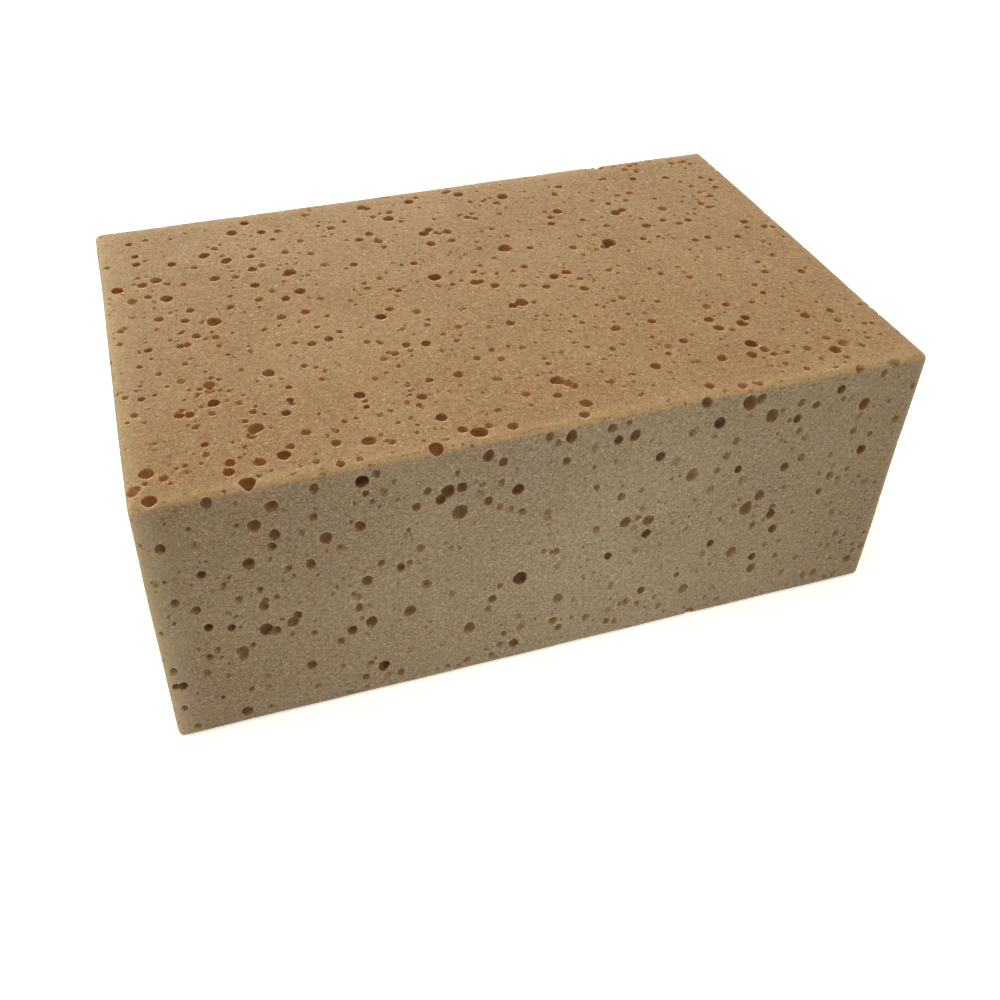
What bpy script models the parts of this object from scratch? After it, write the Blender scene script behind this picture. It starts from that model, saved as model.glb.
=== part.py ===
"""A grout sponge: one cut block of open foam with softly rounded edges and round pores in every face.

The block lies flat with its length along X and its front face towards -Y.
Its origin is the middle of its underside.  All lengths are in metres.
"""
import math
import random
from typing import NamedTuple

import bmesh
import bpy
from mathutils import Matrix, Quaternion, Vector

MM = 0.001
SQUARE_CM = 0.0001

# The block
LENGTH = 175 * MM
WIDTH = 110 * MM
HEIGHT = 70 * MM
EDGE_RADIUS = 1.5 * MM
EDGE_STEPS = 3

# The pores are bubbles of the foam that the cut faces open.  They are taller than wide, as the foam rose.
# A bubble's middle lies between these shares of its radius below the skin.
BUBBLE_RISE = 1.25
BUBBLE_DEPTHS = (-0.35, 0.3)
# A bubble with flat facets is this much larger than a round one with the same mouth
FACET_SWELL = 1.12

# The pores that are scattered over all the faces
PORE_SEED = 7
PORES_PER_SQUARE_CM = 0.37
SMALLEST_PORE = 2.3 * MM
LARGEST_PORE = 3.3 * MM
PORE_WALL = 0.5 * MM
TRIES_PER_PORE = 30

# Some of them have a smaller twin, a bubble that has grown into theirs
TWIN_CHANCE = 0.2
TWIN_WIDTH = 0.72
TWIN_REACH = 0.62

FOAM_COLOUR = (0.36, 0.245, 0.14, 1.0)
FOAM_ROUGHNESS = 0.95

# The prominent pores of the top face: how far right of its middle, how far behind it and how wide, in mm
TOP_PORES = (
    (12.7, 17.2, 3.8), (39.4, 12.1, 3.8), (37.7, 10.4, 2.4), (-63.3, 4.5, 3.5),
    (-60.2, -37.4, 3.3), (-61.6, -39.4, 2.4), (4.5, -39.9, 3.3), (6.4, -41.3, 2.4),
    (-17.1, -51.9, 3.4), (8.0, -8.4, 3.3), (5.6, -8.9, 2.3), (-8.5, 8.6, 3.2),
    (-39.1, -48.0, 3.2), (-74.2, 26.8, 3.0), (-77.6, 25.7, 2.6), (-53.1, 45.4, 3.0),
    (-4.8, 30.3, 2.9), (-3.2, 32.0, 2.4), (48.1, 26.6, 3.0), (50.2, 27.6, 2.4),
    (-83.0, -45.2, 2.9), (-56.4, -47.5, 2.9), (-61.3, -48.0, 2.7), (54.2, -31.2, 3.0),
    (55.8, -29.4, 2.4), (51.6, -39.5, 2.9), (68.5, -46.9, 2.9), (-67.5, -19.8, 2.7),
    (-67.6, -22.0, 2.4), (-67.5, -26.4, 2.7), (-26.9, -54.0, 3.0), (-61.5, 35.6, 2.8),
    (33.2, 31.8, 2.8), (-41.4, 11.7, 2.8), (-54.5, -19.1, 2.9), (7.4, -49.1, 2.8),
    (-67.6, -49.1, 2.5), (-23.2, -45.0, 2.6), (47.7, -31.6, 2.6), (69.5, -32.8, 2.6),
    (42.7, -42.5, 2.6), (52.7, 17.6, 2.6), (-18.6, 34.3, 2.5), (23.4, 1.6, 2.5),
    (24.9, -25.0, 2.5), (27.4, -41.2, 2.5), (-37.4, -32.5, 2.5), (-75.3, 9.1, 2.4),
    (-43.3, -10.8, 2.4), (-18.6, -18.3, 2.4),
)

# The prominent pores of the front face: how far right of its middle, how far above it and how wide, in mm
FRONT_PORES = (
    (43.5, 31.5, 3.4), (46.1, 31.9, 2.4), (-22.1, 17.2, 3.5), (48.4, -0.9, 3.4),
    (49.7, 26.3, 3.3), (-7.4, -7.3, 3.2), (-24.6, 23.7, 3.0), (-26.2, 21.8, 2.4),
    (-42.6, 30.9, 2.8), (36.9, 27.3, 2.9), (73.5, 24.5, 2.9), (32.4, 13.6, 2.9),
    (-19.4, -20.3, 2.9), (-33.4, -9.8, 2.9), (-42.0, -10.7, 2.9), (-70.7, -10.5, 2.8),
    (-60.8, 29.0, 2.7), (-64.6, 25.1, 2.7), (-50.6, 17.6, 2.6), (17.2, 3.3, 2.7),
    (22.9, 2.4, 2.7), (23.0, -1.9, 2.4), (-42.6, 2.6, 2.7), (47.2, -15.0, 2.7),
    (54.1, -22.7, 2.7), (-39.8, -26.5, 2.8), (-73.1, 33.2, 2.5), (-16.2, 31.1, 2.6),
    (2.0, 31.8, 2.7), (16.8, 28.6, 2.6), (-9.2, 20.1, 2.6), (2.4, -17.1, 2.6),
    (35.6, -24.3, 2.6), (-66.7, 15.0, 2.5), (-54.3, 11.2, 2.4),
)


class Face(NamedTuple):
    """One face of the block before its edges are rounded, with the pores chosen for it."""

    middle: Vector
    across: Vector
    along: Vector
    wide: float
    tall: float
    pores: tuple = ()

    def place(self, u, v):
        """The point that lies u across and v along from the middle."""
        return self.middle + self.across * u + self.along * v


class Bubble(NamedTuple):
    """A bubble of the foam.  One pole of its mesh faces out of the block."""

    centre: Vector
    radius: float
    turn: Quaternion


def clear_scene():
    """Removes whatever the file was opened with."""
    for thing in list(bpy.data.objects):
        bpy.data.objects.remove(thing, do_unlink=True)


def foam_material():
    """Dry tan foam."""
    material = bpy.data.materials.new("foam")
    material.use_nodes = True
    shader = material.node_tree.nodes["Principled BSDF"]
    shader.inputs["Base Color"].default_value = FOAM_COLOUR
    shader.inputs["Roughness"].default_value = FOAM_ROUGHNESS
    shader.inputs["Metallic"].default_value = 0.0
    return material


def add_object(name, shape):
    """Puts a bmesh into the scene as a new object."""
    mesh = bpy.data.meshes.new(name)
    shape.to_mesh(mesh)
    shape.free()
    thing = bpy.data.objects.new(name, mesh)
    bpy.context.scene.collection.objects.link(thing)
    return thing


def block():
    """The cut block on the ground, with its edges rounded."""
    box = bmesh.new()
    sizes = Matrix.Diagonal((LENGTH, WIDTH, HEIGHT, 1.0))
    bmesh.ops.create_cube(box, size=1.0, matrix=Matrix.Translation((0, 0, HEIGHT / 2)) @ sizes)
    sponge = add_object("sponge", box)
    rounding = sponge.modifiers.new("rounded edges", "BEVEL")
    rounding.width = EDGE_RADIUS
    rounding.segments = EDGE_STEPS
    return sponge


def block_faces():
    """The six faces.  The first direction of each runs level."""
    right, back, up = Vector((1, 0, 0)), Vector((0, 1, 0)), Vector((0, 0, 1))
    middle = up * HEIGHT / 2
    return (
        Face(up * HEIGHT, right, back, LENGTH, WIDTH, TOP_PORES),
        Face(middle - back * WIDTH / 2, right, up, LENGTH, HEIGHT, FRONT_PORES),
        Face(middle + back * WIDTH / 2, -right, up, LENGTH, HEIGHT),
        Face(middle - right * LENGTH / 2, -back, up, WIDTH, HEIGHT),
        Face(middle + right * LENGTH / 2, back, up, WIDTH, HEIGHT),
        Face(Vector((0, 0, 0)), right, -back, LENGTH, WIDTH),
    )


def on_skin(place):
    """The point of the rounded block nearest to a place on the sharp one, and the way out from there."""
    spans = ((-LENGTH / 2, LENGTH / 2), (-WIDTH / 2, WIDTH / 2), (0.0, HEIGHT))
    core = Vector()
    for axis, (low, high) in enumerate(spans):
        core[axis] = min(max(place[axis], low + EDGE_RADIUS), high - EDGE_RADIUS)
    outward = (place - core).normalized()
    return core + outward * EDGE_RADIUS, outward


def bubble_at(place, width, chance):
    """A bubble whose mouth lies at this place and is this wide."""
    skin, outward = on_skin(place)
    depth = chance.uniform(*BUBBLE_DEPTHS)
    radius = width / 2 / math.sqrt(1 - depth ** 2)
    spin = Quaternion(outward, chance.uniform(0, math.tau))
    return Bubble(skin - outward * radius * depth, radius, spin @ outward.to_track_quat("Z", "Y"))


def foam_between(bubble, other):
    """The thickness of the wall between two bubbles, below zero where they run into each other."""
    apart = bubble.centre - other.centre
    apart.z /= BUBBLE_RISE
    return apart.length - (bubble.radius + other.radius) * FACET_SWELL


def stands_clear(bubble, others):
    """Whether a wall of foam stays between a bubble and all the others."""
    return all(foam_between(bubble, other) > PORE_WALL for other in others)


def chosen_bubbles(face, chance):
    """The bubbles of the pores chosen for a face, as far as the face reaches."""
    bubbles = []
    for u, v, width in face.pores:
        if abs(u * MM) < face.wide / 2 and abs(v * MM) < face.tall / 2:
            bubbles.append(bubble_at(face.place(u * MM, v * MM), width * MM, chance))
    return bubbles


def scatter(face, bubbles, chance):
    """Adds bubbles at random places of a face, clear of those there are, until it has enough pores."""
    wanted = round(face.wide * face.tall / SQUARE_CM * PORES_PER_SQUARE_CM) - len(face.pores)
    tries = wanted * TRIES_PER_PORE
    while wanted > 0 and tries > 0:
        tries -= 1
        u = chance.uniform(-0.5, 0.5) * face.wide
        v = chance.uniform(-0.5, 0.5) * face.tall
        width = SMALLEST_PORE + (LARGEST_PORE - SMALLEST_PORE) * chance.random() ** 2
        bubble = bubble_at(face.place(u, v), width, chance)
        if stands_clear(bubble, bubbles):
            wanted -= 1
            family = [bubble]
            if chance.random() < TWIN_CHANCE:
                bearing = chance.uniform(0, math.tau)
                reach = width * TWIN_REACH
                beside = face.place(u + math.cos(bearing) * reach, v + math.sin(bearing) * reach)
                twin = bubble_at(beside, width * TWIN_WIDTH, chance)
                if stands_clear(twin, bubbles):
                    family.append(twin)
            bubbles.extend(family)


def all_bubbles():
    """The bubbles of all six faces: the chosen ones, then the scattered ones."""
    chance = random.Random(PORE_SEED)
    bubbles = []
    for face in block_faces():
        bubbles.extend(chosen_bubbles(face, chance))
    for face in block_faces():
        scatter(face, bubbles, chance)
    return bubbles


def layers(bubbles):
    """Sorts the bubbles into as few groups as keep those that run into each other apart."""
    groups = []
    for bubble in bubbles:
        for group in groups:
            if stands_clear(bubble, group):
                group.append(bubble)
                break
        else:
            groups.append([bubble])
    return groups


def bubble_cutter(name, bubbles):
    """A hidden object that holds one faceted bubble for each pore."""
    shapes = bmesh.new()
    rise = Matrix.Diagonal((1, 1, BUBBLE_RISE, 1))
    for bubble in bubbles:
        matrix = Matrix.Translation(bubble.centre) @ rise @ bubble.turn.to_matrix().to_4x4()
        swollen = bubble.radius * FACET_SWELL
        bmesh.ops.create_icosphere(shapes, subdivisions=1, radius=swollen, matrix=matrix)
    for face in shapes.faces:
        face.smooth = True
    cutter = add_object(name, shapes)
    cutter.hide_render = True
    cutter.display_type = "WIRE"
    return cutter


def main():
    clear_scene()
    sponge = block()
    for number, group in enumerate(layers(all_bubbles()), start=1):
        cut = sponge.modifiers.new(f"pores {number}", "BOOLEAN")
        cut.operation = "DIFFERENCE"
        cut.solver = "EXACT"
        cut.object = bubble_cutter(f"bubbles_{number}", group)
    sponge.data.materials.append(foam_material())


main()
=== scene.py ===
"""The grout sponge as it looks: foam with round pores of every size, on a white table in soft light."""
import math
import random
from typing import NamedTuple

import bmesh
import bpy
import numpy as np
from mathutils import Matrix, Quaternion, Vector


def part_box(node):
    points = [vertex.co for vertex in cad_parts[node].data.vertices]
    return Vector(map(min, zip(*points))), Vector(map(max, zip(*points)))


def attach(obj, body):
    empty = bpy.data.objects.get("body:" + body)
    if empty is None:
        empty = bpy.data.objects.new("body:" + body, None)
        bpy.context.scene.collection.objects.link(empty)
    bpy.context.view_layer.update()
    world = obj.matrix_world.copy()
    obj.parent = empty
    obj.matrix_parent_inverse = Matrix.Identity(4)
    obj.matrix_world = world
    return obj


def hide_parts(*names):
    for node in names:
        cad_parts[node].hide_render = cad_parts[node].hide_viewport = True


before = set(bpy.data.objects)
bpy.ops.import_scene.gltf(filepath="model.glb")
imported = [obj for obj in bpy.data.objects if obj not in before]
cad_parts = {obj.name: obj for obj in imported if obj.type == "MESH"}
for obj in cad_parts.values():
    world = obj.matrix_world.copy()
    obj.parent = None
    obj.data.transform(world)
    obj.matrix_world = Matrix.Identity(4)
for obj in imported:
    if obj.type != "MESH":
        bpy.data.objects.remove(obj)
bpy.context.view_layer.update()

MM = 0.001
SQUARE_CM = 0.0001


def rgb(red, green, blue):
    """A colour from screen values of 0 to 255."""
    linear = [((value / 255 + 0.055) / 1.055) ** 2.4 for value in (red, green, blue)]
    return (*linear, 1.0)


# The block, as the solid has it
LOW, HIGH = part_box("sponge")
LENGTH, WIDTH, HEIGHT = (round(size, 5) for size in HIGH - LOW)
EDGE_RADIUS = 1.5 * MM
EDGE_STEPS = 3

# The grid of its skin, and how far and over what distances the cut is uneven
GRID_STEP = 5 * MM
UNEVENNESS = 0.1 * MM
UNEVEN_SPAN = 26 * MM
UNEVEN_WAVES = ((1, 0.3, 0.7), (-0.4, 1, 0.6), (0.5, -0.8, 1))
UNEVEN_STRETCH = 0.6
UNEVEN_SHIFT = 1.7

# The pores that the solid has.  Its bubbles are taller than wide, and the middle of each lies between these
# shares of its radius below the skin.  FACET_SWELL is how much larger the solid's flat facets make them.
# A higher bias makes more of the scattered ones small.
BUBBLE_RISE = 1.25
BUBBLE_DEPTHS = (-0.35, 0.3)
FACET_SWELL = 1.12
PORE_SEED = 7
PORES_PER_SQUARE_CM = 0.37
SMALLEST_PORE = 2.3 * MM
LARGEST_PORE = 3.3 * MM
PORE_BIAS = 2
PORE_WALL = 0.5 * MM
TRIES_PER_PORE = 30

# Some of them have a smaller twin, a bubble that has grown into theirs
TWIN_CHANCE = 0.2
TWIN_WIDTH = 0.72
TWIN_REACH = 0.62

# The smaller pores between them
FINE_SEED = 19
FINE_PER_SQUARE_CM = 4.8
FINE_WIDTHS = (0.85 * MM, 2.15 * MM)
FINE_BIAS = 1.9
FINE_WALL = 0.1 * MM
FINE_DEPTHS = (-0.87, -0.12)
FINE_TWIN_CHANCE = 0.22

# How round a pore's ball is: the number of subdivisions, the widest pore that it does for, and how much the
# ball is swollen to keep its width
BALLS = ((1, 1.35 * MM, 1.12), (2, 3.1 * MM, 1.04), (3, 1.0, 1.01))

# The waves that put a ball out of round: how high each is, as a share of the radius, and how close
WOBBLE_SEED = 23
WOBBLES = ((0.09, 2.5), (0.06, 5.0))

# Balls that are cut out together stay this far apart
LAYER_GAP = 0.25 * MM

# The tone that marks the skin.  A pore has a random one between 0 and 1.
SKIN_TONE = -1.0
SHARP_ANGLE = math.radians(35)

# The prominent pores of the top face: how far right of its middle, how far behind it and how wide, in mm
TOP_PORES = (
    (12.7, 17.2, 3.8), (39.4, 12.1, 3.8), (37.7, 10.4, 2.4), (-63.3, 4.5, 3.5),
    (-60.2, -37.4, 3.3), (-61.6, -39.4, 2.4), (4.5, -39.9, 3.3), (6.4, -41.3, 2.4),
    (-17.1, -51.9, 3.4), (8.0, -8.4, 3.3), (5.6, -8.9, 2.3), (-8.5, 8.6, 3.2),
    (-39.1, -48.0, 3.2), (-74.2, 26.8, 3.0), (-77.6, 25.7, 2.6), (-53.1, 45.4, 3.0),
    (-4.8, 30.3, 2.9), (-3.2, 32.0, 2.4), (48.1, 26.6, 3.0), (50.2, 27.6, 2.4),
    (-83.0, -45.2, 2.9), (-56.4, -47.5, 2.9), (-61.3, -48.0, 2.7), (54.2, -31.2, 3.0),
    (55.8, -29.4, 2.4), (51.6, -39.5, 2.9), (68.5, -46.9, 2.9), (-67.5, -19.8, 2.7),
    (-67.6, -22.0, 2.4), (-67.5, -26.4, 2.7), (-26.9, -54.0, 3.0), (-61.5, 35.6, 2.8),
    (33.2, 31.8, 2.8), (-41.4, 11.7, 2.8), (-54.5, -19.1, 2.9), (7.4, -49.1, 2.8),
    (-67.6, -49.1, 2.5), (-23.2, -45.0, 2.6), (47.7, -31.6, 2.6), (69.5, -32.8, 2.6),
    (42.7, -42.5, 2.6), (52.7, 17.6, 2.6), (-18.6, 34.3, 2.5), (23.4, 1.6, 2.5),
    (24.9, -25.0, 2.5), (27.4, -41.2, 2.5), (-37.4, -32.5, 2.5), (-75.3, 9.1, 2.4),
    (-43.3, -10.8, 2.4), (-18.6, -18.3, 2.4),
)

# The prominent pores of the front face: how far right of its middle, how far above it and how wide, in mm
FRONT_PORES = (
    (43.5, 31.5, 3.4), (46.1, 31.9, 2.4), (-22.1, 17.2, 3.5), (48.4, -0.9, 3.4),
    (49.7, 26.3, 3.3), (-7.4, -7.3, 3.2), (-24.6, 23.7, 3.0), (-26.2, 21.8, 2.4),
    (-42.6, 30.9, 2.8), (36.9, 27.3, 2.9), (73.5, 24.5, 2.9), (32.4, 13.6, 2.9),
    (-19.4, -20.3, 2.9), (-33.4, -9.8, 2.9), (-42.0, -10.7, 2.9), (-70.7, -10.5, 2.8),
    (-60.8, 29.0, 2.7), (-64.6, 25.1, 2.7), (-50.6, 17.6, 2.6), (17.2, 3.3, 2.7),
    (22.9, 2.4, 2.7), (23.0, -1.9, 2.4), (-42.6, 2.6, 2.7), (47.2, -15.0, 2.7),
    (54.1, -22.7, 2.7), (-39.8, -26.5, 2.8), (-73.1, 33.2, 2.5), (-16.2, 31.1, 2.6),
    (2.0, 31.8, 2.7), (16.8, 28.6, 2.6), (-9.2, 20.1, 2.6), (2.4, -17.1, 2.6),
    (35.6, -24.3, 2.6), (-66.7, 15.0, 2.5), (-54.3, 11.2, 2.4),
)

# Smaller ones of the top face, read in the same way
FINE_TOP_PORES = (
    (-83.8, 24.8, 3.0), (-83.1, -53.0, 3.0), (-24.9, -36.9, 2.4), (-15.1, -31.6, 2.4), (53.5, -42.3, 2.4),
    (5.5, -52.6, 2.4), (-9.9, -51.9, 2.4), (78.7, 12.1, 2.4), (2.6, -15.9, 2.4), (4.5, 0.8, 2.4),
    (24.9, -6.7, 2.4), (47.2, -27.9, 2.4), (1.3, 29.6, 2.5), (-69.8, 33.6, 2.4), (-56.7, 31.2, 2.4),
    (-50.8, 25.4, 2.4), (-51.4, 17.6, 2.4), (-42.0, 2.5, 2.4), (-79.4, 46.7, 2.0), (-45.5, 43.6, 2.5),
    (-78.3, 40.0, 2.0), (-78.3, 35.9, 2.2), (-50.3, 31.8, 2.2), (-27.6, 40.3, 2.2), (-21.9, 32.1, 2.2),
    (-43.1, 20.4, 2.2), (-26.1, 20.2, 2.0), (-76.8, 19.6, 2.0), (-67.8, 10.8, 2.2), (-69.6, 6.7, 2.2),
    (-67.8, -0.3, 2.2), (-78.8, -2.9, 2.0), (-71.9, -3.4, 2.0), (-70.3, -3.4, 2.0), (-11.6, 16.5, 2.0),
    (19.2, 15.6, 2.0), (-18.6, 5.3, 2.0), (16.3, -3.4, 2.2), (29.7, 12.3, 2.2), (49.0, 11.4, 2.2),
    (61.7, 16.1, 2.0), (64.7, 17.2, 2.0), (65.3, 7.3, 2.0), (73.0, 5.4, 2.0), (70.8, -12.4, 2.2),
    (29.1, 26.0, 2.2), (61.0, 43.9, 2.0), (70.2, 41.9, 2.0), (56.4, 36.2, 2.2), (37.6, -34.1, 2.2),
    (-53.5, -34.1, 2.2), (-50.7, -41.5, 2.2), (-39.2, -10.2, 2.2), (-23.0, -17.4, 2.2), (-72.8, -29.0, 2.2),
    (-66.9, -46.5, 2.2), (-45.7, -46.8, 2.2), (7.4, -42.7, 2.2), (35.2, -51.1, 2.2), (-20.1, -50.0, 2.2),
    (-74.2, -27.0, 1.4), (-51.3, -25.5, 1.5), (-51.8, -30.0, 1.7), (-51.8, -31.4, 1.7), (-57.8, -33.3, 1.2),
    (-62.0, -34.5, 1.6), (-37.0, -37.0, 1.5), (-71.0, -39.5, 1.7), (-42.5, -40.3, 1.5), (-40.0, -40.0, 1.2),
    (-32.0, -44.0, 1.2), (-81.3, -8.7, 1.6), (-77.5, -12.7, 1.6), (-76.2, -17.8, 1.2), (-79.0, -20.2, 1.3),
    (-81.8, -20.8, 1.7),
)

# Smaller ones of the front face
FINE_FRONT_PORES = (
    (51.3, 2.6, 2.6), (-60.8, 21.4, 2.4), (-21.7, 24.1, 2.4), (-43.5, 19.0, 2.4), (76.4, 10.2, 2.4),
    (69.7, 3.9, 2.4), (57.3, -10.0, 2.4), (-29.6, -2.6, 2.4), (-46.6, -11.8, 2.4), (-56.2, -20.3, 2.4),
    (-8.1, -29.3, 2.4), (-83.0, 23.6, 2.4), (-52.2, 31.5, 2.2), (-61.7, 18.4, 2.2), (-76.3, 14.7, 2.0),
    (-52.9, 24.1, 2.0), (-39.6, 32.2, 2.0), (-31.5, 21.0, 2.0), (-15.8, 18.6, 2.0), (-2.9, 33.0, 2.2),
    (11.2, 31.9, 2.2), (12.9, 28.4, 2.2), (1.3, 25.4, 2.0), (15.3, 11.6, 2.0), (56.6, 24.1, 2.2),
    (66.2, 30.2, 2.2), (42.0, 21.2, 2.0), (43.9, 12.4, 2.0), (56.3, 9.8, 2.2), (55.7, -2.4, 2.0),
    (40.8, -10.2, 2.0), (14.0, -6.6, 2.0), (-44.9, -5.2, 2.2), (-58.2, -3.1, 2.2), (-72.2, -2.6, 2.0),
    (-76.8, -1.0, 2.0), (-78.6, 5.1, 2.2), (-78.8, -14.9, 2.0), (-49.3, -14.6, 2.0), (-14.0, -12.2, 2.0),
    (-35.2, 4.4, 2.0), (1.6, -24.8, 2.2), (24.1, -21.4, 2.0), (53.4, -18.4, 2.0), (-35.9, -29.9, 2.0),
    (-44.2, -28.9, 2.0), (-77.0, 27.5, 1.3), (-68.0, 26.0, 1.2), (-42.0, 27.5, 1.5), (-76.5, -24.2, 1.0),
    (-70.5, -12.0, 2.2),
)

# Colours of the foam: its struts on level faces and a greyer copy of them on upright faces, which is painted
# cool light, its tiny cells, a pale colour for its clouds and for the painted glow at its edges, the painted
# glints of its specks and the painted shade in its pinholes
FOAM_TAN = rgb(170, 141, 106)
FOAM_GREY_PAINTED_COOL_LIGHT = rgb(160, 146, 124)
FOAM_DARK = rgb(108, 83, 54)
FOAM_PALE_AND_PAINTED_EDGE_GLOW = rgb(194, 180, 144)
PAINTED_GLINT_COLOUR = rgb(216, 198, 164)
PAINTED_PINHOLE_SHADE = rgb(116, 84, 48)

# Colours painted on the pore walls for the shade and the orange glow of light in the pores: two that vary
# from pore to pore, the painted shade of the deep part, and the painted shade on upright faces
PAINTED_PORE_SHADE_AND_GLOW_RED = rgb(152, 94, 52)
PAINTED_PORE_SHADE_AND_GLOW_OLIVE = rgb(142, 100, 54)
PAINTED_DEEP_PORE_SHADE = rgb(112, 64, 30)
PORE_SHADE = rgb(90, 72, 52)

# The fine cells: their width, how far from a cell's middle its strut begins and is full, how much they count,
# the share of them that get a painted glint, and how much that counts
CELL_SIZE = 0.42 * MM
GRAIN_REACH = (0.1, 0.75)
GRAIN_LIGHT = 0.48
PAINTED_GLINT_SHARE = 0.03
PAINTED_GLINT_STRENGTH = 0.3

# The mottling, and the pale clouds: their width, the range of the noise that counts, and how much it counts
MOTTLE_SIZE = 1.1 * MM
MOTTLE_DETAIL = 3.0
MOTTLE_ROUGHNESS = 0.6
MOTTLE_RANGE = (0.3, 0.7)
MOTTLE_LIGHT = (0.14, 0.5)
CLOUD_SIZE = 24 * MM
CLOUD_RANGE = (0.35, 0.7)
CLOUD_LIGHT = (0.0, 0.1)

# The pinholes: the width of the cells that some of them stand in, the share that has one, its radius and its
# full depth as shares of the cell and of the radius, and how dark the painted shade in it is
PINHOLE_CELLS = (2.4 * MM, 1.5 * MM, 0.95 * MM)
PINHOLE_SHARE = 0.4
PINHOLE_REACH = (0.12, 0.3)
PINHOLE_CORE = 0.45
PINHOLE_DARKNESS = 0.6

# How far the painted glow of light through the edges reaches into a face from the edges of the left end, in
# mm, and how many times less far from those of the right end and from the long edges of the upright and of
# the level faces.  A higher power makes it fade sooner.
RIM_FADE = 8.0
RIGHT_RIM = 2.5
LONG_RIM = 6.0
LEVEL_RIM = 1.3
RIM_POWER = 2.0

# What differs between the faces: how much the painted cool light greys the struts of the upright ones, and
# for the level and then the upright ones how strong the painted glow at the edges is and how red the painted
# glow in the pores
PAINTED_COOL_LIGHT_SHARE = 0.7
PAINTED_EDGE_GLOW_SHARES = (0.42, 0.75)
WALL_REDNESS = (1.0, 0.35)

# How much painted red glow a pore gets from its tone: the turns shuffle the tones, and a higher rarity leaves
# fewer red
TONE_TURNS = 7.0
RED_RARITY = 1.6

# How the painted shade on the pore walls grows with the depth below the skin, as depths in mm and shares of
# the next colour
DEEP_REACH = (0.6, 2.4)
DEEP_SHARES = (0.0, 0.6)
SHADE_REACH = (0.2, 1.6)
SHADE_SHARES = (0.4, 0.62)
WALL_REACH = (0.0, 0.8)
WALL_SHARES = (0.2, 1.0)

# How strong the painted shade and glow on the walls is, from the lowest tone to the highest, and how ragged
# its border is, in mm
WALL_STRENGTHS = (0.7, 1.0)
RAGGEDNESS = 0.35

# The foam's surface, and how light goes into it
BUMP_STRENGTH = 0.5
BUMP_DEPTH = 0.25 * MM
GRAIN_BUMP = 0.5
FOAM_ROUGHNESS = 0.95
FOAM_SPECULAR = 0.25
GLOW_WEIGHT = 0.65
GLOW_RADIUS = (1.0, 0.6, 0.32)
GLOW_SCALE = 4.0 * MM

# The table, which glows to the camera as white as the surround.  Close to the sponge it glows less, so that
# the shadow shows: from TABLE_GLOW at the first distance to full at the second.
TABLE_REACH = 4.0
TABLE_GAP = 0.2 * MM
TABLE_WHITE = (0.85, 0.85, 0.85, 1.0)
TABLE_ROUGHNESS = 0.9
TABLE_GLOW = 0.58
TABLE_FADE = (0.15, 0.6)

# The white of the table's glow and of the surround, and how strongly the surround lights the sponge
WHITE = (1.0, 1.0, 1.0, 1.0)
SKY_LIGHT = 0.2

# Each lamp's name, place, size in metres, power in watts and colour
LAMPS = (
    ("overhead", (-0.03, -0.14, 0.5), 0.35, 1.6, (1.0, 0.8, 0.52)),
    ("back", (-0.04, 0.37, 0.21), 0.3, 1.7, (0.83, 0.93, 1.0)),
    ("front", (0.01, -0.175, 0.012), 0.06, 0.1, (0.69, 0.87, 1.0)),
    ("left", (-0.8, 0.15, 0.2), 0.4, 2.5, (1.0, 0.99, 0.97)),
    ("right", (0.75, 0.12, 0.12), 0.4, 1.1, (0.97, 0.98, 1.0)),
)

# The camera: a view of the left end, the front and the top from about 0.3 m
IMAGE_SIZE = 1000
CAMERA_AZIMUTH = math.radians(-16.81)
CAMERA_ELEVATION = math.radians(37.7)
CAMERA_ROLL = math.radians(0.02)
CAMERA_OFFSET = Vector((0.0554, -0.0021, -1.652)) * LENGTH
FOCAL_PIXELS = 1106.2
OPTICAL_CENTRE = (438.5, 402.7)
SENSOR = 36.0
CLIP_START = 0.01


class Face(NamedTuple):
    """One face of the block before its edges are rounded, with the pores chosen for it."""

    middle: Vector
    across: Vector
    along: Vector
    wide: float
    tall: float
    pores: tuple = ()
    fine_pores: tuple = ()

    def place(self, u, v):
        """The point that lies u across and v along from the middle."""
        return self.middle + self.across * u + self.along * v


class Bubble(NamedTuple):
    """A bubble of the foam.  One pole of its mesh faces out of the block."""

    centre: Vector
    radius: float
    turn: Quaternion
    width: float


def add_object(name, shape):
    """Puts a bmesh into the scene as a new object."""
    mesh = bpy.data.meshes.new(name)
    shape.to_mesh(mesh)
    shape.free()
    thing = bpy.data.objects.new(name, mesh)
    bpy.context.scene.collection.objects.link(thing)
    return thing


def block_faces():
    """The six faces.  The first direction of each runs level."""
    right, back, up = Vector((1, 0, 0)), Vector((0, 1, 0)), Vector((0, 0, 1))
    middle = up * HEIGHT / 2
    return (
        Face(up * HEIGHT, right, back, LENGTH, WIDTH, TOP_PORES, FINE_TOP_PORES),
        Face(middle - back * WIDTH / 2, right, up, LENGTH, HEIGHT, FRONT_PORES, FINE_FRONT_PORES),
        Face(middle + back * WIDTH / 2, -right, up, LENGTH, HEIGHT),
        Face(middle - right * LENGTH / 2, -back, up, WIDTH, HEIGHT),
        Face(middle + right * LENGTH / 2, back, up, WIDTH, HEIGHT),
        Face(Vector((0, 0, 0)), right, -back, LENGTH, WIDTH),
    )


def on_skin(place):
    """The point of the rounded block nearest to a place on the sharp one, and the way out from there."""
    spans = ((-LENGTH / 2, LENGTH / 2), (-WIDTH / 2, WIDTH / 2), (0.0, HEIGHT))
    core = Vector()
    for axis, (low, high) in enumerate(spans):
        core[axis] = min(max(place[axis], low + EDGE_RADIUS), high - EDGE_RADIUS)
    outward = (place - core).normalized()
    return core + outward * EDGE_RADIUS, outward


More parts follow.
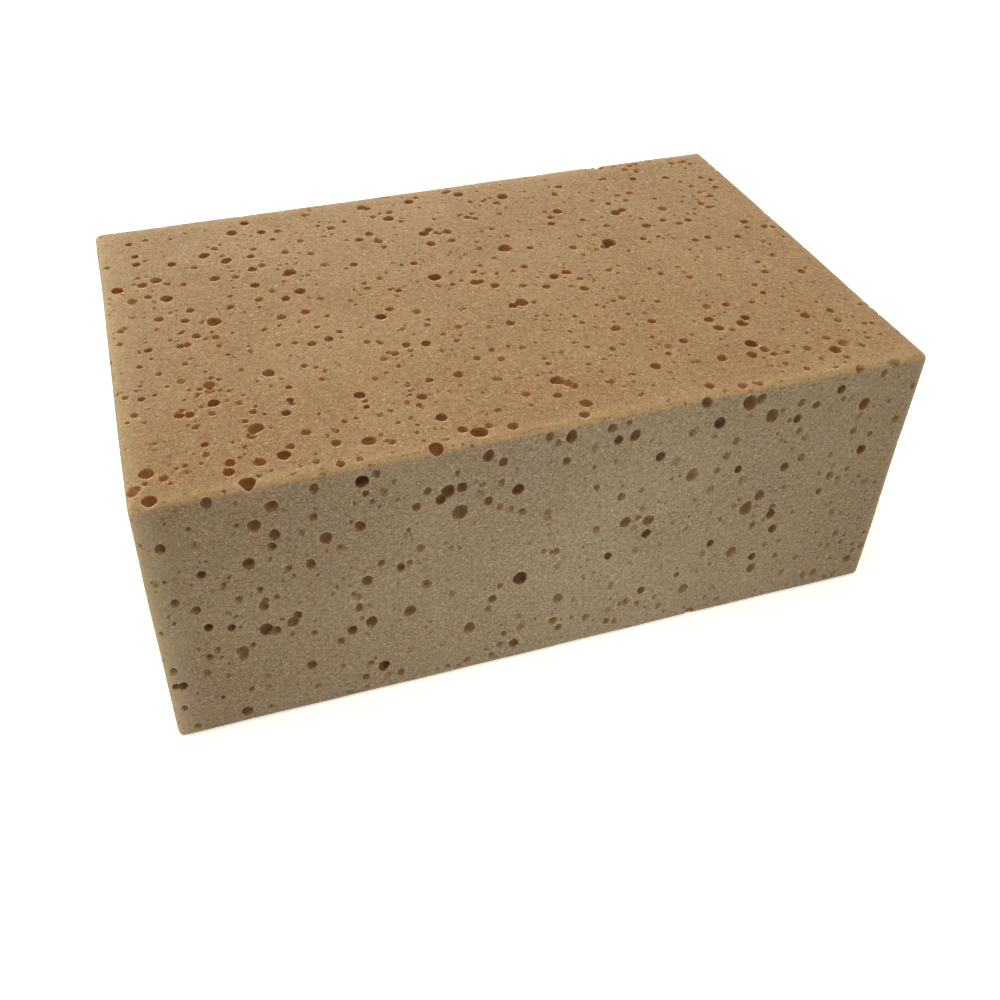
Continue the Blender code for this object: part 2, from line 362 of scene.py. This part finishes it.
def bubble_at(place, width, chance, depths=BUBBLE_DEPTHS):
    """A bubble whose mouth lies at this place and is this wide."""
    skin, outward = on_skin(place)
    depth = chance.uniform(*depths)
    radius = width / 2 / math.sqrt(1 - depth ** 2)
    spin = Quaternion(outward, chance.uniform(0, math.tau))
    turn = spin @ outward.to_track_quat("Z", "Y")
    return Bubble(skin - outward * radius * depth, radius, turn, width)


def foam_between(bubble, other):
    """The thickness of the wall between two bubbles, below zero where they run into each other."""
    apart = bubble.centre - other.centre
    apart.z /= BUBBLE_RISE
    return apart.length - (bubble.radius + other.radius) * FACET_SWELL


def stands_clear(bubble, others):
    """Whether a wall of foam stays between a bubble and all the others."""
    return all(foam_between(bubble, other) > PORE_WALL for other in others)


def chosen_bubbles(face, pores, chance):
    """The bubbles of some pores chosen for a face, as far as the face reaches."""
    bubbles = []
    for u, v, width in pores:
        if abs(u * MM) < face.wide / 2 and abs(v * MM) < face.tall / 2:
            bubbles.append(bubble_at(face.place(u * MM, v * MM), width * MM, chance))
    return bubbles


def scatter(face, bubbles, chance):
    """Adds bubbles at random places of a face, clear of those there are, until it has enough pores."""
    wanted = round(face.wide * face.tall / SQUARE_CM * PORES_PER_SQUARE_CM) - len(face.pores)
    tries = wanted * TRIES_PER_PORE
    while wanted > 0 and tries > 0:
        tries -= 1
        u = chance.uniform(-0.5, 0.5) * face.wide
        v = chance.uniform(-0.5, 0.5) * face.tall
        width = SMALLEST_PORE + (LARGEST_PORE - SMALLEST_PORE) * chance.random() ** PORE_BIAS
        bubble = bubble_at(face.place(u, v), width, chance)
        if stands_clear(bubble, bubbles):
            wanted -= 1
            family = [bubble]
            if chance.random() < TWIN_CHANCE:
                bearing = chance.uniform(0, math.tau)
                reach = width * TWIN_REACH
                beside = face.place(u + math.cos(bearing) * reach, v + math.sin(bearing) * reach)
                twin = bubble_at(beside, width * TWIN_WIDTH, chance)
                if stands_clear(twin, bubbles):
                    family.append(twin)
            bubbles.extend(family)


def solid_bubbles():
    """The bubbles that the solid has, in its order."""
    chance = random.Random(PORE_SEED)
    bubbles = []
    for face in block_faces():
        bubbles.extend(chosen_bubbles(face, face.pores, chance))
    for face in block_faces():
        scatter(face, bubbles, chance)
    return bubbles


class Crowd:
    """Bubbles with their middles and radii kept as arrays, to find quickly which ones a new one meets."""

    def __init__(self, bubbles):
        self.bubbles = []
        self.points = np.zeros((0, 3))
        self.radii = np.zeros(0)
        for bubble in bubbles:
            self.add(bubble)

    def add(self, bubble):
        """Takes in one more bubble."""
        self.bubbles.append(bubble)
        self.points = np.vstack([self.points, self.squeezed(bubble)])
        self.radii = np.append(self.radii, bubble.radius)

    @staticmethod
    def squeezed(bubble):
        """The middle of a bubble in a space where all of them are round."""
        return np.array([bubble.centre.x, bubble.centre.y, bubble.centre.z / BUBBLE_RISE])

    def thinnest_wall(self, bubble):
        """The thinnest wall between a bubble and the crowd, below zero where it meets one."""
        if not len(self.radii):
            return math.inf
        apart = np.linalg.norm(self.points - self.squeezed(bubble), axis=1)
        return float((apart - self.radii).min()) - bubble.radius


def add_fine_bubbles(crowd):
    """Fills the foam between the large pores with small ones, more of them the smaller they are."""
    chance = random.Random(FINE_SEED)
    small, large = FINE_WIDTHS
    for face in block_faces():
        for bubble in chosen_bubbles(face, face.fine_pores, chance):
            crowd.add(bubble)
    for face in block_faces():
        wanted = round(face.wide * face.tall / SQUARE_CM * FINE_PER_SQUARE_CM) - len(face.fine_pores)
        for _ in range(wanted):
            u = chance.uniform(-0.5, 0.5) * face.wide
            v = chance.uniform(-0.5, 0.5) * face.tall
            width = small + (large - small) * chance.random() ** FINE_BIAS
            bubble = bubble_at(face.place(u, v), width, chance, FINE_DEPTHS)
            if crowd.thinnest_wall(bubble) > FINE_WALL:
                crowd.add(bubble)
                if chance.random() < FINE_TWIN_CHANCE:
                    bearing = chance.uniform(0, math.tau)
                    reach = width * TWIN_REACH
                    beside = face.place(u + math.cos(bearing) * reach, v + math.sin(bearing) * reach)
                    crowd.add(bubble_at(beside, width * TWIN_WIDTH, chance, FINE_DEPTHS))


def layers(bubbles):
    """Sorts the bubbles into as few groups as keep those that run into each other apart."""
    groups = []
    for bubble in bubbles:
        for group in groups:
            if group.thinnest_wall(bubble) > LAYER_GAP:
                group.add(bubble)
                break
        else:
            groups.append(Crowd([bubble]))
    return [group.bubbles for group in groups]


def unit_ball(rounds):
    """The corners and the triangles of a ball of radius 1."""
    shape = bmesh.new()
    bmesh.ops.create_icosphere(shape, subdivisions=rounds, radius=1.0)
    shape.verts.index_update()
    corners = np.array([vertex.co for vertex in shape.verts])
    triangles = np.array([[vertex.index for vertex in face.verts] for face in shape.faces])
    shape.free()
    return corners, triangles


def bubble_corners(bubble, ball, chance):
    """The corners of one bubble, somewhat out of round."""
    swell = np.ones(len(ball))
    for size, waves in WOBBLES:
        wave = np.array([chance.gauss(0, 1) for _ in range(3)])
        wave *= waves / np.linalg.norm(wave)
        swell += size * np.sin(ball @ wave + chance.uniform(0, math.tau))
    corners = (ball * swell[:, None]) @ np.array(bubble.turn.to_matrix()).T * bubble.radius
    corners[:, 2] *= BUBBLE_RISE
    return corners + np.array(bubble.centre)


def bubble_cutter(name, bubbles, balls, chance):
    """A hidden object that holds a ball for each pore, with a random tone for each one."""
    corners, triangles, tones = [], [], []
    start = 0
    for bubble in bubbles:
        ball, faces, swell = next(ball for width, *ball in balls if bubble.width <= width)
        corners.append(bubble_corners(bubble, ball * swell, chance))
        triangles.append(faces + start)
        tones.append(np.full(len(faces), chance.random()))
        start += len(ball)
    mesh = bpy.data.meshes.new(name)
    mesh.from_pydata(np.vstack(corners).tolist(), [], np.vstack(triangles).tolist())
    tone = mesh.attributes.new("tone", "FLOAT", "FACE")
    tone.data.foreach_set("value", np.concatenate(tones).astype(np.float32))
    cutter = bpy.data.objects.new(name, mesh)
    bpy.context.scene.collection.objects.link(cutter)
    return cutter


def ruling(span):
    """The places of the grid lines along one side of the block, close together round its edges."""
    core = span / 2 - EDGE_RADIUS
    steps = max(1, round(2 * core / GRID_STEP))
    middle = [-core + 2 * core * step / steps for step in range(steps + 1)]
    turns = [math.pi / 4 * step / EDGE_STEPS for step in range(1, EDGE_STEPS + 1)]
    rim = [core + EDGE_RADIUS * math.tan(turn) for turn in turns]
    return [-place for place in reversed(rim)] + middle + rim


def unevenness(place):
    """How far a cut face stands proud of its plane at one place."""
    height = 0.0
    for number, (x, y, z) in enumerate(UNEVEN_WAVES):
        distance = place.x * x + place.y * y + place.z * z
        wave = distance * math.tau / UNEVEN_SPAN / (1 + UNEVEN_STRETCH * number)
        height += math.sin(wave + UNEVEN_SHIFT * number)
    return height / len(UNEVEN_WAVES) * UNEVENNESS


def foam_block():
    """The block with rounded edges, as a closed grid that follows the slightly uneven cut."""
    shape = bmesh.new()
    corners = {}
    for face in block_faces():
        columns = ruling(face.wide)
        rows = ruling(face.tall)
        grid = []
        for v in rows:
            line = []
            for u in columns:
                place = face.place(u, v)
                key = tuple(round(value / MM, 3) for value in place)
                if key not in corners:
                    skin, outward = on_skin(place)
                    corners[key] = shape.verts.new(skin + outward * unevenness(skin))
                line.append(corners[key])
            grid.append(line)
        for lower, upper in zip(grid, grid[1:]):
            for i in range(len(columns) - 1):
                shape.faces.new((lower[i], lower[i + 1], upper[i + 1], upper[i]))
    bmesh.ops.recalc_face_normals(shape, faces=shape.faces)
    block = add_object("foam_block", shape)
    tone = block.data.attributes.new("tone", "FLOAT", "FACE")
    tone.data.foreach_set("value", [SKIN_TONE] * len(block.data.polygons))
    return block


def cut_pores(thing, bubbles):
    """Cuts the bubbles out of the block and keeps the result as its mesh."""
    chance = random.Random(WOBBLE_SEED)
    balls = [(width, *unit_ball(rounds), swell) for rounds, width, swell in BALLS]
    cutters = []
    for number, group in enumerate(layers(bubbles), start=1):
        cutter = bubble_cutter(f"bubbles_{number}", group, balls, chance)
        cut = thing.modifiers.new(f"pores {number}", "BOOLEAN")
        cut.operation = "DIFFERENCE"
        cut.solver = "MANIFOLD"
        cut.object = cutter
        cutters.append(cutter)
    graph = bpy.context.evaluated_depsgraph_get()
    mesh = bpy.data.meshes.new_from_object(thing.evaluated_get(graph))
    thing.modifiers.clear()
    thing.data = mesh
    for cutter in cutters:
        bpy.data.objects.remove(cutter, do_unlink=True)


def mark_places(mesh):
    """Marks each corner of the mesh for the foam's colours.

    depth is how far it lies below the skin, in mm.  rim is how far it lies from the edges of its face, in mm,
    made longer where the painted edge glow reaches less far.  upright is 1 on the upright faces and 0
    elsewhere.
    """
    points = np.zeros(len(mesh.vertices) * 3, np.float32)
    mesh.vertices.foreach_get("co", points)
    points = points.reshape(-1, 3)
    half = np.array([LENGTH, WIDTH, HEIGHT]) / 2
    inward = half - np.abs(points - np.array([0, 0, HEIGHT / 2]))
    outside = np.maximum(EDGE_RADIUS - inward, 0)
    rounded = EDGE_RADIUS - np.linalg.norm(outside, axis=1)
    skin = np.where((outside > 0).any(1), rounded, inward.min(1))
    across, along, up = inward.T
    on_level = up < np.minimum(across, along)
    end = across * np.where(points[:, 0] < 0, 1.0, RIGHT_RIM)
    upright_rim = np.minimum(np.where(across < along, along, end), up * LONG_RIM)
    level_rim = np.minimum(end, along * LEVEL_RIM)
    marks = {
        "depth": np.maximum(skin, 0) / MM,
        "rim": np.where(on_level, level_rim, upright_rim) / MM,
        "upright": np.where(on_level, 0.0, 1.0),
    }
    for name, values in marks.items():
        mark = mesh.attributes.new(name, "FLOAT", "POINT")
        mark.data.foreach_set("value", values.astype(np.float32))


class Nodes:
    """A short way to add nodes to a material or a world and link them."""

    def __init__(self, owner):
        owner.use_nodes = True
        self.tree = owner.node_tree

    def add(self, kind, links=(), **settings):
        """Adds a node with its settings, and gives its sockets their values or links."""
        node = self.tree.nodes.new(kind)
        for name, value in settings.items():
            setattr(node, name, value)
        for socket, value in dict(links).items():
            self.set(node, socket, value)
        return node

    def set(self, node, socket, value):
        """Gives a socket a value, or links another node's socket to it."""
        if isinstance(value, bpy.types.NodeSocket):
            self.tree.links.new(value, node.inputs[socket])
        else:
            node.inputs[socket].default_value = value

    def math(self, operation, *values):
        """The result of a sum or another operation on numbers."""
        return self.add("ShaderNodeMath", enumerate(values), operation=operation).outputs[0]

    def spread(self, value, from_range, to_range=(0.0, 1.0), smooth=True):
        """Maps a range of values to another, and clamps what lies outside."""
        links = {"Value": value, "From Min": from_range[0], "From Max": from_range[1],
                 "To Min": to_range[0], "To Max": to_range[1]}
        kind = "SMOOTHSTEP" if smooth else "LINEAR"
        return self.add("ShaderNodeMapRange", links, interpolation_type=kind).outputs[0]

    def mix(self, share, first, second):
        """A mix of two colours."""
        return self.add("ShaderNodeMix", {0: share, 6: first, 7: second}, data_type="RGBA").outputs[2]

    def noise(self, place, size, detail=2.0, roughness=0.5):
        """Soft noise with features of this size."""
        links = {"Vector": place, "Scale": 1 / size, "Detail": detail, "Roughness": roughness}
        return self.add("ShaderNodeTexNoise", links).outputs["Fac"]

    def cells(self, place, size):
        """Cells of this size: the distance from each one's middle, and its own random values."""
        cells = self.add("ShaderNodeTexVoronoi", {"Vector": place, "Scale": 1 / size})
        chances = self.add("ShaderNodeSeparateColor", {"Color": cells.outputs["Color"]})
        return cells.outputs["Distance"], chances.outputs

    def mark(self, name):
        """A mark on the mesh."""
        return self.add("ShaderNodeAttribute", attribute_name=name).outputs["Fac"]

    def seen_directly(self):
        """1 where the camera sees the thing itself, also in a mirror or through glass, and 0 elsewhere."""
        paths = self.add("ShaderNodeLightPath").outputs
        seen = self.math("MAXIMUM", paths["Is Camera Ray"], paths["Is Glossy Ray"])
        return self.math("MAXIMUM", seen, paths["Is Transmission Ray"])


class Foam:
    """The foam as nodes, from fine textures and from the marks on the mesh."""

    def __init__(self, nodes):
        self.nodes = nodes
        self.place = nodes.add("ShaderNodeTexCoord").outputs["Object"]
        self.depth, self.tone, self.rim, self.upright = map(nodes.mark, ("depth", "tone", "rim", "upright"))
        distance, self.chances = nodes.cells(self.place, CELL_SIZE)
        self.grain = nodes.spread(distance, GRAIN_REACH)
        self.mottle = nodes.noise(self.place, MOTTLE_SIZE, MOTTLE_DETAIL, MOTTLE_ROUGHNESS)
        self.holes = self.pinholes()

    def by_face(self, level_and_upright):
        """A value that differs between the level and the upright faces."""
        return self.nodes.spread(self.upright, (0.0, 1.0), level_and_upright)

    def pinholes(self):
        """A mask of small round holes, in some of the cells of several sizes."""
        nodes = self.nodes
        holes = 0.0
        for size in PINHOLE_CELLS:
            distance, chances = nodes.cells(self.place, size)
            present = nodes.math("LESS_THAN", chances[0], PINHOLE_SHARE)
            reach = nodes.spread(chances[1], (0.0, 1.0), PINHOLE_REACH, smooth=False)
            hole = nodes.spread(distance, (reach, nodes.math("MULTIPLY", reach, PINHOLE_CORE)))
            holes = nodes.math("MAXIMUM", holes, nodes.math("MULTIPLY", hole, present))
        return holes

    def skin(self):
        """The cut face: pale struts round tiny dark cells, greyed on upright faces by painted cool light,
        mottled, with painted glow at its edges, painted shade in its pinholes and painted glints.
        """
        nodes = self.nodes
        mottle = nodes.spread(self.mottle, MOTTLE_RANGE, MOTTLE_LIGHT)
        light = nodes.math("ADD", nodes.math("MULTIPLY", self.grain, GRAIN_LIGHT), mottle)
        # The greyer struts of the upright faces are painted cool light.
        struts = nodes.mix(nodes.math("MULTIPLY", self.upright, PAINTED_COOL_LIGHT_SHARE), FOAM_TAN, FOAM_GREY_PAINTED_COOL_LIGHT)
        colour = nodes.mix(light, FOAM_DARK, struts)
        cloud = nodes.spread(nodes.noise(self.place, CLOUD_SIZE), CLOUD_RANGE, CLOUD_LIGHT)
        colour = nodes.mix(cloud, colour, FOAM_PALE_AND_PAINTED_EDGE_GLOW)
        # The paler colour towards the edges is painted glow of light through the foam; the clouds above are
        # the foam's own.
        rim = nodes.math("POWER", nodes.spread(self.rim, (RIM_FADE, 0.0), smooth=False), RIM_POWER)
        colour = nodes.mix(nodes.math("MULTIPLY", rim, self.by_face(PAINTED_EDGE_GLOW_SHARES)), colour, FOAM_PALE_AND_PAINTED_EDGE_GLOW)
        # The darker colour in the pinholes is painted shade.
        colour = nodes.mix(nodes.math("MULTIPLY", self.holes, PINHOLE_DARKNESS), colour, PAINTED_PINHOLE_SHADE)
        # The bright specks are painted glints.
        glint = nodes.math("LESS_THAN", self.chances[0], PAINTED_GLINT_SHARE)
        return nodes.mix(nodes.math("MULTIPLY", glint, PAINTED_GLINT_STRENGTH), colour, PAINTED_GLINT_COLOUR)

    def painted_pore_shade_and_glow(self):
        """Painted shade and glow on a pore's wall: browner, redder in some pores than in others, darker
        further down and greyer on upright faces.
        """
        nodes = self.nodes
        # The redness is painted glow of light through the foam; the deep brown and the upright grey below are
        # painted shade.
        redness = nodes.math("FRACT", nodes.math("MULTIPLY", self.tone, TONE_TURNS))
        redness = nodes.math("MULTIPLY", nodes.math("POWER", redness, RED_RARITY), self.by_face(WALL_REDNESS))
        colour = nodes.mix(redness, PAINTED_PORE_SHADE_AND_GLOW_OLIVE, PAINTED_PORE_SHADE_AND_GLOW_RED)
        colour = nodes.mix(nodes.spread(self.depth, DEEP_REACH, DEEP_SHARES), colour, PAINTED_DEEP_PORE_SHADE)
        shade = nodes.math("MULTIPLY", self.upright, nodes.spread(self.depth, SHADE_REACH, SHADE_SHARES))
        return nodes.mix(shade, colour, PORE_SHADE)

    def inside(self):
        """How much of the walls' painted shade and glow shows: none on the skin, more further down, with a
        ragged border.
        """
        nodes = self.nodes
        ragged = nodes.spread(self.mottle, MOTTLE_RANGE, (-RAGGEDNESS, RAGGEDNESS))
        share = nodes.spread(nodes.math("ADD", self.depth, ragged), WALL_REACH, WALL_SHARES)
        share = nodes.math("MULTIPLY", share, nodes.spread(self.tone, (0.0, 1.0), WALL_STRENGTHS))
        return nodes.math("MULTIPLY", share, nodes.math("GREATER_THAN", self.tone, SKIN_TONE / 2))

    def bump(self):
        """Struts that stand proud, and pinholes that are sunk."""
        height = self.nodes.math("SUBTRACT", self.nodes.math("MULTIPLY", self.grain, GRAIN_BUMP), self.holes)
        links = {"Height": height, "Strength": BUMP_STRENGTH, "Distance": BUMP_DEPTH}
        return self.nodes.add("ShaderNodeBump", links).outputs[0]


def foam_material():
    """Dry tan foam that light goes a few millimetres into."""
    material = bpy.data.materials.new("foam")
    nodes = Nodes(material)
    foam = Foam(nodes)
    looks = {
        # The pores' walls get painted shade and glow in place of the foam's own colour.
        "Base Color": nodes.mix(foam.inside(), foam.skin(), foam.painted_pore_shade_and_glow()),
        "Normal": foam.bump(),
        "Roughness": FOAM_ROUGHNESS,
        "Specular IOR Level": FOAM_SPECULAR,
        "Subsurface Weight": GLOW_WEIGHT,
        "Subsurface Radius": GLOW_RADIUS,
        "Subsurface Scale": GLOW_SCALE,
    }
    for socket, value in looks.items():
        nodes.set(nodes.tree.nodes["Principled BSDF"], socket, value)
    return material


def make_sponge():
    """The foam block with all its pores, in place of the plain solid."""
    sponge = foam_block()
    sponge.name = "sponge_foam"
    crowd = Crowd(solid_bubbles())
    add_fine_bubbles(crowd)
    cut_pores(sponge, crowd.bubbles)
    mesh = sponge.data
    mesh.shade_smooth()
    mesh.set_sharp_from_angle(angle=SHARP_ANGLE)
    mark_places(mesh)
    mesh.materials.clear()
    mesh.materials.append(foam_material())
    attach(sponge, "root")
    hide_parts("sponge")


def table_material():
    """White, as bright as the background to the camera, with the sponge's soft shadow."""
    material = bpy.data.materials.new("table")
    nodes = Nodes(material)
    place = nodes.add("ShaderNodeTexCoord").outputs["Object"]
    away = nodes.add("ShaderNodeVectorMath", {0: place}, operation="LENGTH").outputs["Value"]
    glow = nodes.spread(away, TABLE_FADE, (TABLE_GLOW, 1.0))
    looks = {
        "Base Color": TABLE_WHITE,
        "Roughness": TABLE_ROUGHNESS,
        "Specular IOR Level": 0.0,
        "Emission Color": WHITE,
        "Emission Strength": nodes.math("MULTIPLY", nodes.seen_directly(), glow),
    }
    for socket, value in looks.items():
        nodes.set(nodes.tree.nodes["Principled BSDF"], socket, value)
    return material


def make_table():
    """A wide white table just under the sponge."""
    shape = bmesh.new()
    bmesh.ops.create_grid(shape, x_segments=1, y_segments=1, size=TABLE_REACH)
    table = add_object("table", shape)
    table.location.z = -TABLE_GAP
    table.data.materials.append(table_material())


def make_sky():
    """A white surround that also gives the soft light from all sides."""
    world = bpy.data.worlds.new("surround")
    bpy.context.scene.world = world
    nodes = Nodes(world)
    strength = nodes.spread(nodes.seen_directly(), (0.0, 1.0), (SKY_LIGHT, 1.0), smooth=False)
    background = nodes.tree.nodes["Background"]
    nodes.set(background, "Color", WHITE)
    nodes.set(background, "Strength", strength)


def make_lamp(name, place, aim, size, power, colour):
    """A square soft lamp that faces a point and isn't seen itself."""
    lamp = bpy.data.lights.new(name, "AREA")
    lamp.shape = "SQUARE"
    lamp.size = size
    lamp.energy = power
    lamp.color = colour
    thing = bpy.data.objects.new(name, lamp)
    bpy.context.scene.collection.objects.link(thing)
    thing.location = place
    thing.visible_camera = False
    thing.rotation_mode = "QUATERNION"
    thing.rotation_quaternion = (Vector(aim) - Vector(place)).to_track_quat("-Z", "Y")


def make_lamps():
    """A warm lamp above, cool ones behind and low in front, and one at each end."""
    middle = (0, 0, HEIGHT / 2)
    for name, place, size, power, colour in LAMPS:
        make_lamp(name, place, middle, size, power, colour)


def make_camera():
    """The camera of the photo, from its turn, its distance and its optical centre."""
    azimuth, elevation = CAMERA_AZIMUTH, CAMERA_ELEVATION
    level = math.cos(elevation)
    back = Vector((math.sin(azimuth) * level, -math.cos(azimuth) * level, math.sin(elevation)))
    right = Vector((0, 0, 1)).cross(back).normalized()
    up = back.cross(right)
    turned_right = right * math.cos(CAMERA_ROLL) + up * math.sin(CAMERA_ROLL)
    turned_up = up * math.cos(CAMERA_ROLL) - right * math.sin(CAMERA_ROLL)
    axes = Matrix((turned_right, turned_up, back)).transposed()
    camera = bpy.data.cameras.new("camera")
    camera.sensor_width = SENSOR
    camera.lens = FOCAL_PIXELS / IMAGE_SIZE * SENSOR
    camera.shift_x = 0.5 - OPTICAL_CENTRE[0] / IMAGE_SIZE
    camera.shift_y = OPTICAL_CENTRE[1] / IMAGE_SIZE - 0.5
    camera.clip_start = CLIP_START
    thing = bpy.data.objects.new("camera", camera)
    bpy.context.scene.collection.objects.link(thing)
    place = Vector((0, 0, HEIGHT / 2)) - axes @ CAMERA_OFFSET
    thing.matrix_world = Matrix.Translation(place) @ axes.to_4x4()
    bpy.context.scene.camera = thing


make_sponge()
make_table()
make_sky()
make_lamps()
make_camera()
bpy.context.scene.view_settings.view_transform = "Standard"
